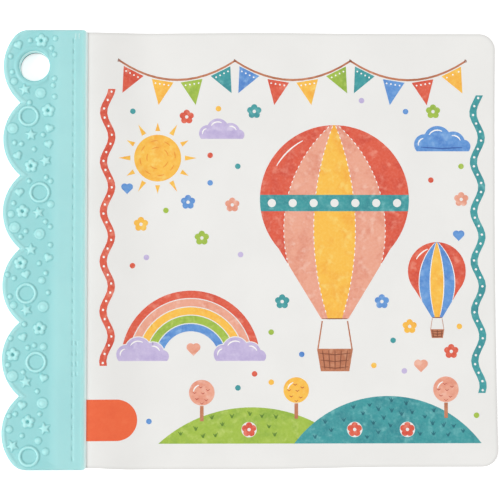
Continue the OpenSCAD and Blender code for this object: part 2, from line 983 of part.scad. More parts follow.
module print_yellow() {
    color([0.98, 0.74, 0.24])
        printed() yellow_plan();
}

module print_green() {
    color([0.64, 0.74, 0.2])
        printed() green_plan();
}

module print_teal() {
    color([0.2, 0.6, 0.62])
        printed() teal_plan();
}

module print_blue() {
    color([0.36, 0.58, 0.84])
        printed() blue_plan();
}

module print_lavender() {
    color([0.78, 0.72, 0.87])
        printed() lavender_plan();
}

module print_brown() {
    color([0.76, 0.47, 0.32])
        printed() brown_plan();
}

teether_spine();
page_block();
front_cover();
back_cover();
sewing_thread();
print_tab();
print_coral();
print_salmon();
print_yellow();
print_green();
print_teal();
print_blue();
print_lavender();
print_brown();
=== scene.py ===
"""Soft baby book: limp printed sheets sewn into a scalloped silicone teething spine."""

import math

import bmesh
import bpy
import numpy as np
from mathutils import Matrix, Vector


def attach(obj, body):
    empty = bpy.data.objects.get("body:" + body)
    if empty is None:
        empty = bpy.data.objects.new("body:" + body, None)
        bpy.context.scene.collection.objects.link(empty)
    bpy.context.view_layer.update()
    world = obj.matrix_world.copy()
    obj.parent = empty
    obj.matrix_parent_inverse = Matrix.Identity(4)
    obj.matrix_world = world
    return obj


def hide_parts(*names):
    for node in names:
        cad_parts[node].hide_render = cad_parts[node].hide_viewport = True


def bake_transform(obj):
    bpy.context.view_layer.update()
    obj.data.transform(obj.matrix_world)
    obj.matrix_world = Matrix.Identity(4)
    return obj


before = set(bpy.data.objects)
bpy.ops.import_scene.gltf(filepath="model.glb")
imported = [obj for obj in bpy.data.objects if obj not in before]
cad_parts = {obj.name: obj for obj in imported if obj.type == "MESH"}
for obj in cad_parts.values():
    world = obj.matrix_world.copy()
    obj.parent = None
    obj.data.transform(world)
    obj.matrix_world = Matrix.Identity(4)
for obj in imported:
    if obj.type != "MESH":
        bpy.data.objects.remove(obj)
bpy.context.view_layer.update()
MM = 0.001

# Lengths in millimetres, as in the part's source
SPINE_LEN = 158.4
SPINE_T = 7.0
BACK_X = -89.0
FIELD_Z = 6.7
FIELD_BORDER = 1.5
RELIEF_H = 0.7
LOBES = 6
LOBE_PITCH = SPINE_LEN / LOBES
DRAWN_PITCH = 80 / 3
DRAWN_CENTRE = 2.863
SCALLOP_DEPTH = 6.2
LOBE_R = (SCALLOP_DEPTH ** 2 + (LOBE_PITCH / 2) ** 2) / (2 * SCALLOP_DEPTH)
LOBE_X = BACK_X + LOBE_R
STRIP_X = -68.7
MOTIF_X = STRIP_X - DRAWN_CENTRE
RING_HOLE = (-77.8, 66.0)
RING_HOLE_R = 5.45
FLAP_UNDER_Z = 5.05
FLAP_X = -58.0
FORE_X = 89.0
HINGE_X = -58.975
SLOT_X = -67.2
SEWN_CLEAR = 0.3
STITCH_X = -63.6
STITCH_PITCH = 3.75
STITCH_COUNT = 40
SEAM_START = -75.0
SEWN_OVER = (-45.0, -33.75)
OVER_X = 1.35
LOOSE_END_Y = 76.8
YARN_R = 0.2
YARN_SUNK = 0.22
SHEET_HALF = 78.5
CORNER_R = 6.0
BACK_SHEET_Z = 2.1
DROOP = BACK_SHEET_Z
DROOP_RUN = 24.0
DROOP_STEPS = 14
HELD_RUN = 14
COVER_TOP_Z = 4.9
COVER_T = 0.35
LEAF_T = 0.3
LEAF_GAP = 0.1
LEAVES = 5
PRINT_T = 0.08
PRINT_X = 15.5

# How the silicone flaps end: where they thin to a lip, by how much, and where a paler colour
# and a glow paint the light that shines through
LIP_FROM_X = -60.7
LIP_THINNED = 0.88
LIP_PRESSED = 0.19
LIP_DRAWN_FROM_X = -61
LIP_DRAWN_BACK = 0.75
LIT_FROM_X = -61.6
LIT_RUN = 2.6

# Sizes of the motifs, most of them a little over the solids' for the puffed edge
DOT_R = 0.84
BUTTON_RS = {"small": 1.25, "large": 1.95}
RING_R = 3.25
RING_BAND = 1.04
DAISY_R = 2.4
STAR_RS = (2.2, 1.06)
HEART_W = 3.2
MOTIF_REACH = 4.2
# How far beside a motif the painted shade at its foot reaches
FOOT_REACH = 0.42

# Print: heights over the cover, steps along it, and the layout from its middle
FILM_TOP, FILM_FOOT = 0.03, -0.05
INK_TOP, INK_FOOT = 0.05, -0.02
CUT_STEP = 3.0
INK_STEP = 0.8
BALLOON = (15, 18, 27)
BALLOON_BAND = (13.2, 20.2)
SMALL_BALLOON = (52, -8, 10.5)
SUN = (-49, 33)
CLOUDS = ((-26, 42, 4), (54, 38, 5), (-54.5, -38, 4.6), (-19.5, -38, 4.6))
CROWNS = ((-33, -51.9), (1, -51.0), (55, -50.8))
RIBBON_X, RIBBON_WAVE = 67, 1.5
SWAGS, PENNANTS_EACH = 3, 4
SWAG_W, SWAG_Y, SWAG_SAG = 42, 68.5, 28
MOUND_FOOT_Y = -70
LEFT_MOUND = (-15, 50, 13)
RIGHT_MOUND = (34, 42, 17)

# Size of the spine's even mesh, and in metres how near two points are the same one
VOXEL = 0.3
SAME_PLACE = 2e-6

# Half the table's length and width, far past what the camera sees
TABLE_HALF = 900


# Meshes

def colour(r, g, b):
    """A colour as seen on a screen, 0 to 255, in linear light."""
    return tuple(c / 12.92 if c <= 0.04045 else ((c + 0.055) / 1.055) ** 2.4
                 for c in (r / 255, g / 255, b / 255)) + (1.0,)


def linked(name, data):
    """A new piece in the scene."""
    piece = bpy.data.objects.new(name, data)
    bpy.context.scene.collection.objects.link(piece)
    return piece


def add_piece(name, points_mm, faces, material):
    mesh = bpy.data.meshes.new(name)
    mesh.from_pydata((np.asarray(points_mm, float) * MM).tolist(), [], faces)
    mesh.validate()
    mesh.materials.append(material)
    return linked(name, mesh)


def merged_copy(node, name):
    """A copy of a solid's mesh with its loose triangles joined."""
    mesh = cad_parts[node].data.copy()
    mesh.name = name
    bm = bmesh.new()
    bm.from_mesh(mesh)
    bmesh.ops.remove_doubles(bm, verts=bm.verts, dist=SAME_PLACE)
    bm.to_mesh(mesh)
    bm.free()
    mesh.materials.clear()
    return linked(name, mesh)


def made_plain(piece):
    """The piece with its modifiers worked into its mesh."""
    bpy.context.view_layer.update()
    depsgraph = bpy.context.evaluated_depsgraph_get()
    mesh = bpy.data.meshes.new_from_object(piece.evaluated_get(depsgraph))
    piece.modifiers.clear()
    piece.data = mesh
    return piece


def points_of(mesh):
    co = np.empty(len(mesh.vertices) * 3, np.float32)
    mesh.vertices.foreach_get("co", co)
    return co.reshape(-1, 3).astype(float) / MM


def set_points(mesh, points_mm):
    mesh.vertices.foreach_set("co", (points_mm * MM).astype(np.float32).ravel())
    mesh.update()


def keep_value(mesh, name, values):
    attribute = mesh.attributes.get(name) or mesh.attributes.new(name, "FLOAT", "POINT")
    attribute.data.foreach_set("value", np.asarray(values, np.float32))


def smooth_shaded(piece, crease=None):
    piece.data.shade_smooth()
    if crease is not None:
        piece.data.set_sharp_from_angle(angle=math.radians(crease))
    return piece


def ease(value, low, high):
    """0 below the low value, 1 above the high one, and a soft rise between them."""
    t = np.clip((value - low) / (high - low), 0, 1)
    return t * t * (3 - 2 * t)


# Materials

def plain_nodes(name, roughness, **values):
    material = bpy.data.materials.new(name)
    material.use_nodes = True
    tree = material.node_tree
    shader = tree.nodes["Principled BSDF"]
    shader.inputs["Roughness"].default_value = roughness
    for key, value in values.items():
        shader.inputs[key.replace("_", " ")].default_value = value
    return material, tree, shader


def join(tree, source, target):
    tree.links.new(source, target)


def feed(tree, node, inputs):
    """Joins a node's inputs to other nodes' outputs, or sets them to plain values."""
    for label, value in inputs.items():
        if isinstance(value, bpy.types.NodeSocket):
            join(tree, value, node.inputs[label])
        else:
            node.inputs[label].default_value = value
    return node


def add_node(tree, kind, inputs):
    return feed(tree, tree.nodes.new(kind), inputs)


def group(name, kind, inputs, outputs):
    """A new node group, with the nodes for what it is given and what it makes."""
    tree = bpy.data.node_groups.new(name, kind)
    for label, socket_kind, value in inputs:
        socket = tree.interface.new_socket(
            name=label, in_out="INPUT", socket_type="NodeSocket" + socket_kind)
        if value is not None:
            socket.default_value = value
    for label, socket_kind in outputs:
        tree.interface.new_socket(
            name=label, in_out="OUTPUT", socket_type="NodeSocket" + socket_kind)
    return tree, tree.nodes.new("NodeGroupInput"), tree.nodes.new("NodeGroupOutput")


def maths(tree, operation, *values, clamp=False):
    node = tree.nodes.new("ShaderNodeMath")
    node.operation = operation
    node.use_clamp = clamp
    return feed(tree, node, dict(enumerate(values))).outputs[0]


def noise(tree, vector, scale, detail=3.0, roughness=0.5):
    return add_node(tree, "ShaderNodeTexNoise", {
        "Vector": vector, "Scale": scale, "Detail": detail, "Roughness": roughness}).outputs["Fac"]


def mix(tree, share, a, b):
    node = tree.nodes.new("ShaderNodeMix")
    node.data_type = "RGBA"
    return feed(tree, node, {"Factor": share, 6: a, 7: b}).outputs[2]


def ramp(tree, value, low, high, to_low=0.0, to_high=1.0):
    node = tree.nodes.new("ShaderNodeMapRange")
    node.interpolation_type = "SMOOTHSTEP"
    return feed(tree, node, {"Value": value, "From Min": low, "From Max": high,
                             "To Min": to_low, "To Max": to_high}).outputs["Result"]


def stored(tree, name):
    """A value that is kept on the mesh's points."""
    node = tree.nodes.new("ShaderNodeAttribute")
    node.attribute_name = name
    return node.outputs["Fac"]


def place(tree):
    return tree.nodes.new("ShaderNodeTexCoord").outputs["Object"]


def add_bump(tree, shader, height, strength, depth_mm):
    bump = add_node(tree, "ShaderNodeBump", {
        "Height": height, "Strength": strength, "Distance": depth_mm * MM})
    join(tree, bump.outputs["Normal"], shader.inputs["Normal"])


def sheet_grain():
    """Fine felted grain of tear-proof paper, as a height."""
    tree, given, made = group("Sheet grain", "ShaderNodeTree",
                              [("Vector", "Vector", (0, 0, 0))], [("Height", "Float")])
    fine = noise(tree, given.outputs["Vector"], 1400.0, 4.0, 0.6)
    slow = noise(tree, given.outputs["Vector"], 90.0, 2.0, 0.5)
    join(tree, maths(tree, "MULTIPLY_ADD", slow, 0.6, fine), made.inputs["Height"])
    return tree


def washed_colour():
    """Printed colour that pools and thins as a brushed wash does."""
    tree, given, made = group(
        "Washed colour", "ShaderNodeTree",
        [("Vector", "Vector", (0, 0, 0)), ("Colour", "Color", (1, 1, 1, 1)),
         ("Pale", "Color", (1, 1, 1, 1)), ("Deep", "Color", (0, 0, 0, 1)),
         ("Strength", "Float", 1.0)],
        [("Colour", "Color")])
    at, strength, pale = (given.outputs[label] for label in ("Vector", "Strength", "Pale"))
    pool = ramp(tree, noise(tree, at, 170.0, 5.0, 0.62), 0.42, 0.68)
    thin = ramp(tree, noise(tree, at, 330.0, 3.0, 0.55), 0.5, 0.78)
    brush = ramp(tree, noise(tree, at, 1100.0, 2.0, 0.6), 0.35, 0.75)
    pooled = mix(tree, maths(tree, "MULTIPLY", pool, strength, clamp=True),
                 given.outputs["Colour"], given.outputs["Deep"])
    thinned = mix(tree, maths(tree, "MULTIPLY", thin, strength, clamp=True), pooled, pale)
    brushed = mix(tree, maths(tree, "MULTIPLY", brush, 0.22), thinned, pale)
    join(tree, brushed, made.inputs["Colour"])
    return tree


GRAIN = sheet_grain()
WASH = washed_colour()


def add_grain(tree, shader, strength):
    grain = tree.nodes.new("ShaderNodeGroup")
    grain.node_tree = GRAIN
    feed(tree, grain, {"Vector": place(tree)})
    add_bump(tree, shader, grain.outputs["Height"], strength, 0.06)


def printed_colour(name, base, pale, deep, strength):
    material, tree, shader = plain_nodes(name, 0.52)
    wash = tree.nodes.new("ShaderNodeGroup")
    wash.node_tree = WASH
    feed(tree, wash, {"Vector": place(tree), "Colour": colour(*base), "Pale": colour(*pale),
                      "Deep": colour(*deep), "Strength": strength})
    join(tree, wash.outputs["Colour"], shader.inputs["Base Color"])
    add_grain(tree, shader, 0.25)
    return material


def sheet_white(name, tone):
    """White of a sheet, faintly clouded, and darkened a little along its cut edge by painted shade.
    """
    material, tree, shader = plain_nodes(name, 0.5)
    cloud = ramp(tree, noise(tree, place(tree), 45.0, 3.0), 0.35, 0.7)
    face = mix(tree, cloud, colour(*tone), colour(*[min(255, t + 3) for t in tone]))
    edge = colour(*[t - 10 for t in tone])
    # rim: painted shade along the cut edge
    join(tree, mix(tree, stored(tree, "rim"), face, edge), shader.inputs["Base Color"])
    add_grain(tree, shader, 0.3)
    return material


def silicone():
    """Soft matt silicone, with light and shade painted into its colour: painted shade deepens the
    sunken field and darkens the motifs' feet, and a painted highlight makes their tops paler. Where
    it is thin, on the flaps' lip and round the ring hole, a paler colour and an emission paint the
    light that shines through it, and a dark band paints the shadow at the foot of the hole's wall."""
    material, tree, shader = plain_nodes("silicone_matt", 0.46, Subsurface_Weight=0.25,
                                         Subsurface_Scale=0.0012, Emission_Strength=1.0)
    shader.inputs["Subsurface Radius"].default_value = (0.7, 1.0, 1.0)
    raised, sunk, thin = (stored(tree, name) for name in ("raised", "sunk", "thin"))
    cloud = ramp(tree, noise(tree, place(tree), 60.0, 3.0), 0.3, 0.7)
    tone = mix(tree, cloud, colour(164, 221, 222), colour(169, 225, 225))
    # Painted light and shade, in turn: shade in the sunken field, shade at the motifs' feet,
    # highlight on their tops, shadow at the hole wall's foot, then light through the thin wall and
    # lip
    for share, shown in (
            (sunk, colour(155, 218, 219)),
            (ramp(tree, raised, -1.0, 0.0, 1.0, 0.0), colour(143, 209, 210)),
            (ramp(tree, raised, 0.0, 1.0), colour(182, 239, 238)),
            (ramp(tree, thin, -0.8, 0.0, 1.0, 0.0), colour(96, 146, 146)),
            (ramp(tree, thin, 0.0, 0.6), colour(196, 255, 253)),
            (ramp(tree, thin, 0.6, 1.0), colour(236, 253, 252))):
        tone = mix(tree, share, tone, shown)
    join(tree, tone, shader.inputs["Base Color"])
    # Painted glow: the thin lip and hole wall give off a little light, standing in for light
    # shining through them
    glow = mix(tree, ramp(tree, thin, 0.1, 1.0), (0, 0, 0, 1), colour(90, 108, 108))
    join(tree, glow, shader.inputs["Emission Color"])
    add_bump(tree, shader, noise(tree, place(tree), 2200.0, 3.0, 0.6), 0.18, 0.05)
    return material


def thread_yarn():
    """Twisted polyester of nearly the silicone's colour, paler where an end lies loose."""
    material, tree, shader = plain_nodes("thread_twist", 0.6, Sheen_Weight=0.3)
    axes = add_node(tree, "ShaderNodeSeparateXYZ", {0: place(tree)})
    slant = maths(tree, "ADD", maths(tree, "MULTIPLY", axes.outputs["Y"], 9000.0),
                  maths(tree, "MULTIPLY", axes.outputs["X"], 7000.0))
    ply = maths(tree, "MULTIPLY_ADD", maths(tree, "SINE", slant), 0.5, 0.5, clamp=True)
    pulled = mix(tree, ply, colour(166, 222, 223), colour(188, 234, 233))
    tone = mix(tree, stored(tree, "loose"), pulled, colour(208, 242, 240))
    join(tree, tone, shader.inputs["Base Color"])
    add_bump(tree, shader, ply, 0.5, 0.08)
    return material


# Levels of the sheets

def sink(x):
    return DROOP * (1 - np.cos(np.pi * np.clip((x - HINGE_X) / DROOP_RUN, 0, 1))) / 2


DROOP_XS = HINGE_X + DROOP_RUN * np.arange(DROOP_STEPS + 1) / DROOP_STEPS


def solid_sink(x):
    """The same sinking in the straight steps that the solids have."""
    return np.interp(x, DROOP_XS, sink(DROOP_XS))


def spring(x, y):
    """How far the limp top sheet lifts off the ones below, most at its free edges."""
    u = np.clip((x - HINGE_X - HELD_RUN) / (FORE_X - HINGE_X - HELD_RUN), 0, 1)
    v = y / SHEET_HALF
    edge = u * u * (3 - 2 * u)
    fore = edge * (0.42 + 0.22 * np.sin(3.4 * v + 0.7) + 0.16 * np.sin(7.1 * v - 1.2))
    head = 0.35 * u * np.abs(v) ** 6
    swell = 0.25 * np.sin(np.pi * u) * (1 + np.sin(2.3 * v + 3.1 * u))
    return np.maximum(0, fore + head + swell)


def sheet_level(x, y, bottom, share):
    return bottom - sink(x) + share * spring(x, y)


def trimmed(x, y):
    """The outline as the limp sheets were cut and lie: a little out of true on three sides."""
    fore = 0.55 * (y / 66) ** 2 - 0.35
    head = 0.3 * np.exp(-((x - 4) / 25) ** 2)
    tail = -0.72 * ease(x, HINGE_X, -42) * (1 - ease(x, 0, 52))
    return (x + fore * ease(x, 30, FORE_X),
            y + head * ease(y, 50, SHEET_HALF) + tail * ease(-y, 50, SHEET_HALF))


def make_sheet(name, bottom, thickness, share, material, phase=0.0, press=0.02):
    """One limp sheet with rounded outer corners, from inside the spine to the fore-edge.
    The phase sets it a little off its neighbours, the press thins its cut edge."""
    fore = FORE_X + min(0.0, 0.12 * math.sin(phase))
    half = SHEET_HALF - abs(0.1 * math.sin(2.1 * phase))
    bent, sunk, corner = HINGE_X + 8, HINGE_X + 26, fore - CORNER_R
    xs = np.concatenate([
        np.linspace(SLOT_X + SEWN_CLEAR, HINGE_X, 8)[:-1], np.linspace(HINGE_X, bent, 17)[:-1],
        np.linspace(bent, sunk, 15)[:-1], np.linspace(sunk, corner, 54)[:-1],
        corner + CORNER_R * np.sin(np.linspace(0, math.pi / 2, 13))])
    across = np.concatenate([[-1, -0.9955, -0.99, -0.983], np.linspace(-0.972, 0.972, 75),
                             [0.983, 0.99, 0.9955, 1]])
    into_corner = np.clip(xs - corner, 0, CORNER_R)
    halves = half - CORNER_R + np.sqrt(np.maximum(0, CORNER_R ** 2 - into_corner ** 2))
    gx = np.repeat(xs[:, None], len(across), 1)
    gy = halves[:, None] * across[None, :]
    to_fore, to_side = fore - gx, half - np.abs(gy)
    from_round = CORNER_R - np.hypot(CORNER_R - to_fore, CORNER_R - to_side)
    in_corner = (to_fore < CORNER_R) & (to_side < CORNER_R)
    inside = np.where(in_corner, from_round, np.minimum(to_fore, to_side))
    pressed = press * (1 - ease(inside, 0, 0.7))
    gx, gy = trimmed(gx, gy)
    low = sheet_level(gx, gy, bottom, share)
    top = np.stack([gx, gy, low + thickness - pressed], -1).reshape(-1, 3)
    base = np.stack([gx, gy, low + 0.5 * pressed], -1).reshape(-1, 3)
    n = gx.size
    grid = np.arange(n).reshape(gx.shape).tolist()
    faces = []
    for near, far in zip(grid, grid[1:]):
        for a, b, c, d in zip(near, far, far[1:], near[1:]):
            faces += [(a, b, c, d), (n + d, n + c, n + b, n + a)]
    rim = ([row[0] for row in grid] + grid[-1][1:] + [row[-1] for row in grid[-2::-1]]
           + grid[0][-2:0:-1])
    faces += [(b, a, n + a, n + b) for a, b in zip(rim, rim[1:] + rim[:1])]
    piece = add_piece(name, np.concatenate([top, base]), faces, material)
    # How near the cut edge a point lies, where painted shade darkens the white
    keep_value(piece.data, "rim", np.tile((1 - ease(inside, 0.1, 1.2)).ravel(), 2))
    return smooth_shaded(piece, 40)


def printed_film(node, name, material):
    """A printed colour on the limp cover: cut into small fields, so that it follows the swells."""
    piece = merged_copy(node, name)
    bm = bmesh.new()
    bm.from_mesh(piece.data)
    for axis in (0, 1):
        reach = [v.co[axis] / MM for v in bm.verts]
        for k in range(math.floor(min(reach) / CUT_STEP) + 1, math.ceil(max(reach) / CUT_STEP)):
            where, across = [0, 0, 0], [0, 0, 0]
            where[axis], across[axis] = k * CUT_STEP * MM, 1
            geometry = bm.verts[:] + bm.edges[:] + bm.faces[:]
            bmesh.ops.bisect_plane(bm, geom=geometry, plane_co=where, plane_no=across, dist=1e-5)
    bmesh.ops.remove_doubles(bm, verts=bm.verts, dist=1e-5)
    bmesh.ops.triangulate(bm, faces=bm.faces)
    bm.to_mesh(piece.data)
    bm.free()
    points = points_of(piece.data)
    x, y, z = points.T
    upper = z - (COVER_TOP_Z - solid_sink(x)) > PRINT_T / 2
    points[:, 2] = sheet_level(x, y, COVER_TOP_Z, 1.0) + np.where(upper, FILM_TOP, FILM_FOOT)
    set_points(piece.data, points)
    piece.data.materials.append(material)
    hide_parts(node)
    return piece


# Fine brushwork of the print

def on_cover(x, y, above):
    """Places on the cover's face, from the middle of the print."""
    gx = PRINT_X + x
    return np.stack([gx, y, sheet_level(gx, y, COVER_TOP_Z, 1.0) + above], -1)


def evenly(path, step):
    path = np.asarray(path, float)
    along = np.concatenate([[0], np.cumsum(np.hypot(*np.diff(path, axis=0).T))])
    count = max(3, int(along[-1] / step) + 1)
    t = np.linspace(0, along[-1], count)
    return np.stack([np.interp(t, along, path[:, 0]), np.interp(t, along, path[:, 1])], -1)


def brushed_lines(name, paths, width, material):
    """Thin lines of ink that swell in the middle and taper at the ends, as a brush leaves them."""
    points, faces = [], []
    for path in paths:
        p = evenly(path, INK_STEP)
        d = np.gradient(p, axis=0)
        d /= np.maximum(np.hypot(d[:, 0], d[:, 1]), 1e-9)[:, None]
        swell = 0.3 + 0.7 * np.sin(np.linspace(0.12, math.pi - 0.12, len(p))) ** 0.6
        side = np.stack([-d[:, 1], d[:, 0]], -1) * (width / 2 * swell)[:, None]
        left, right = p + side, p - side
        first = len(points)
        for (lx, ly), (rx, ry) in zip(left, right):
            points += [on_cover(lx, ly, INK_FOOT), on_cover(lx, ly, INK_TOP),
                       on_cover(rx, ry, INK_TOP), on_cover(rx, ry, INK_FOOT)]
        last = first + 4 * (len(p) - 1)
        for a in range(first, last, 4):
            for c in range(4):
                n = (c + 1) % 4
                faces.append((a + c, a + n, a + 4 + n, a + 4 + c))
        faces += [(first + 3, first + 2, first + 1, first), (last, last + 1, last + 2, last + 3)]
    piece = add_piece(name, points, faces, material)
    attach(piece, "front")
    return smooth_shaded(piece, 30)


def copies_on(tree, made, points, shape, turns, material):
    """Ends a node group: a copy of the shape on every point, all of one material."""
    spread = add_node(tree, "GeometryNodeInstanceOnPoints",
                      {"Points": points, "Instance": shape, **turns})
    real = add_node(tree, "GeometryNodeRealizeInstances", {0: spread.outputs[0]})
    paint = add_node(tree, "GeometryNodeSetMaterial",
                     {"Geometry": real.outputs[0], "Material": material})
    join(tree, paint.outputs[0], made.inputs[0])


def dash_row():
    """Small printed dots or dashes at even steps along curves."""
    tree, given, made = group(
        "Dash row", "GeometryNodeTree",
        [("Paths", "Geometry", None), ("Step", "Float", 0.003), ("Length", "Float", 0.001),
         ("Width", "Float", 0.0005), ("Thickness", "Float", 0.00007), ("Ink", "Material", None)],
        [("Geometry", "Geometry")])
    even = tree.nodes.new("GeometryNodeResampleCurve")
    even.mode = "LENGTH"
    feed(tree, even, {"Curve": given.outputs["Paths"], "Length": given.outputs["Step"]})
    disc = add_node(tree, "GeometryNodeMeshCylinder", {"Vertices": 12, "Radius": 0.5, "Depth": 1.0})
    size = add_node(tree, "ShaderNodeCombineXYZ", {
        "X": given.outputs["Length"], "Y": given.outputs["Width"], "Z": given.outputs["Thickness"]})
    shaped = add_node(tree, "GeometryNodeTransform", {
        "Geometry": disc.outputs["Mesh"], "Scale": size.outputs[0]})
    turn = tree.nodes.new("FunctionNodeAlignEulerToVector")
    turn.axis = "X"
    turn.pivot_axis = "Z"
    feed(tree, turn, {"Vector": tree.nodes.new("GeometryNodeInputTangent").outputs[0]})
    copies_on(tree, made, even.outputs[0], shaped.outputs[0],
              {"Rotation": turn.outputs[0]}, given.outputs["Ink"])
    return tree


def work_group(piece, tree, values):
    """Gives a piece a modifier that runs a node group with these values."""
    modifier = piece.modifiers.new(tree.name, "NODES")
    modifier.node_group = tree
    for socket in tree.interface.items_tree:
        if socket.in_out == "INPUT" and socket.name in values:
            modifier[socket.identifier] = values[socket.name]


def dashes(tree, name, paths, step, length, width, material):
    curve = bpy.data.curves.new(name, "CURVE")
    curve.dimensions = "3D"
    for path in paths:
        p = evenly(path, INK_STEP)
        places = on_cover(p[:, 0], p[:, 1], 0.03) * MM
        spline = curve.splines.new("POLY")
        spline.points.add(len(places) - 1)
        for point, place_m in zip(spline.points, places):
            point.co = (*place_m, 1)
    row = linked(name, curve)
    work_group(row, tree, {"Step": step * MM, "Length": length * MM, "Width": width * MM,
                           "Ink": material})
    bpy.context.view_layer.update()
    depsgraph = bpy.context.evaluated_depsgraph_get()
    mesh = bpy.data.meshes.new_from_object(row.evaluated_get(depsgraph))
    bpy.data.objects.remove(row)
    piece = linked(name, mesh)
    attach(piece, "front")
    return smooth_shaded(piece, 30)


def gore_edge(share, side, balloon):
    """Edge of a balloon's gore: a long arc from the mouth to the crown."""
    cx, cy, r = balloon
    half, chord = share * r, 1.45 * r
    arc = (half ** 2 + chord ** 2) / (2 * half)
    middle = 1.04 * r - chord
    y = np.linspace(-1.5 * r, 0.97 * r, 60)
    x = side * (np.sqrt(arc ** 2 - (y - middle) ** 2) - arc + half)
    in_neck = (y < -0.5 * r) & (np.abs(x) < r * (0.18 + 0.686 * (y / r + 1.6) / 1.1))
    return np.stack([cx + x, cy + y], -1)[(np.hypot(x, y) < r) | in_neck]


def arc_path(cx, cy, r, start, end):
    t = np.radians(np.linspace(start, end, 24))
    return np.stack([cx + r * np.cos(t), cy + r * np.sin(t)], -1)


def ribbon_path(side, low, high):
    y = np.linspace(low, high, 160)
    return np.stack([side * RIBBON_X + RIBBON_WAVE * np.sin(np.radians(20 * y)), y], -1)


def pennant(swag, k):
    """Middle of a pennant's top edge and its slope, under a string that sags."""
    t = (k + 0.5) / PENNANTS_EACH
    return ((swag - SWAGS / 2 + t) * SWAG_W, SWAG_Y - SWAG_SAG * t * (1 - t) - 0.72,
            math.atan(-SWAG_SAG * (1 - 2 * t) / SWAG_W))


def mound_top(x, mound):
    middle, r, rise = mound
    return MOUND_FOOT_Y + rise - r + np.sqrt(np.maximum(0, r * r - (x - middle) ** 2))


def tufts(mound, clear, seed):
    """Short blades of grass in threes, scattered over a mound and clear of what stands on it."""
    middle, r, rise = mound
    chance = np.random.default_rng(seed)
    paths = []
    for _ in range(400):
        x = chance.uniform(middle - r, middle + r)
        y = chance.uniform(MOUND_FOOT_Y + 1.5, MOUND_FOOT_Y + rise - 1.5)
        near = any(math.hypot(x - a, y - b) < c for a, b, c in clear)
        if near or y > mound_top(x, mound) - 2.2:
            continue
        clear.append((x, y, 3.6))
        for lean in (-0.55, 0, 0.5):
            tall = chance.uniform(1.1, 1.7)
            paths.append([(x + lean * 0.3, y), (x + lean * 0.7, y + tall * 0.6),
                          (x + lean * 1.5, y + tall)])
    return paths


